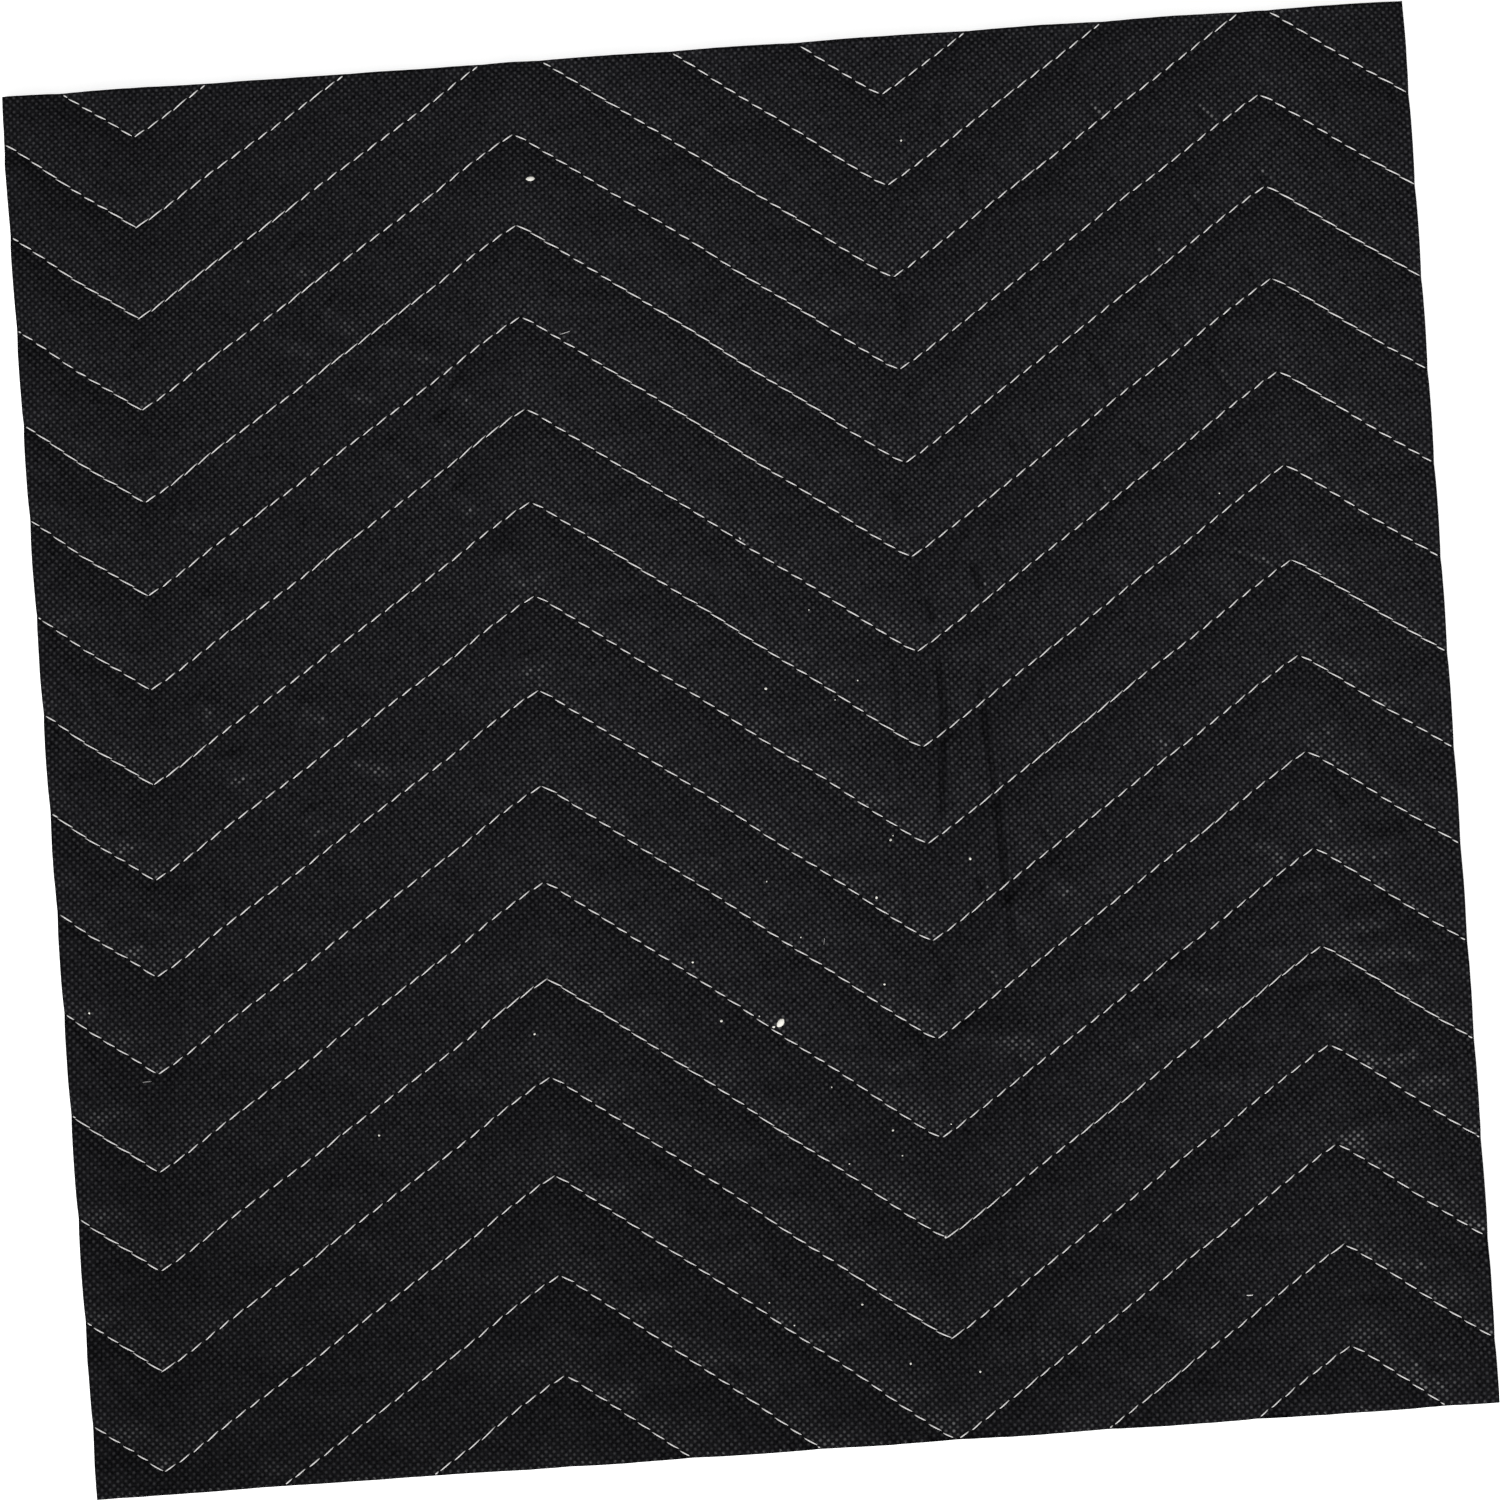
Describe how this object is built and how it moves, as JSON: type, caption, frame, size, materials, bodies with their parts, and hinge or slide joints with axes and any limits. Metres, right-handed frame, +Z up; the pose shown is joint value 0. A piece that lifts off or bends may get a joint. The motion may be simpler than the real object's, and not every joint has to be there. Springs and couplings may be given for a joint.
{
  "type": "moving pad",
  "caption": "Square cut length of quilted moving pad: black nonwoven cloth over filling, sewn through in zigzag rows of stitches, lying flat.",
  "frame": {"origin": "middle of the underside, on the surface that the pad lies on", "axes": "+Z up through the pad's thickness, X along the rows of quilting, +Y across them to the back edge"},
  "size_m": [0.372, 0.372, 0.0059],
  "materials": {
    "pad_cover": "matt spunbonded cloth with fine embossed bond points that shine a little",
    "quilting_thread": "off-white spun thread with a low sheen"
  },
  "bodies": {
    "root": {"quilted_pad": "pad_cover"}
  },
  "joints": []
}
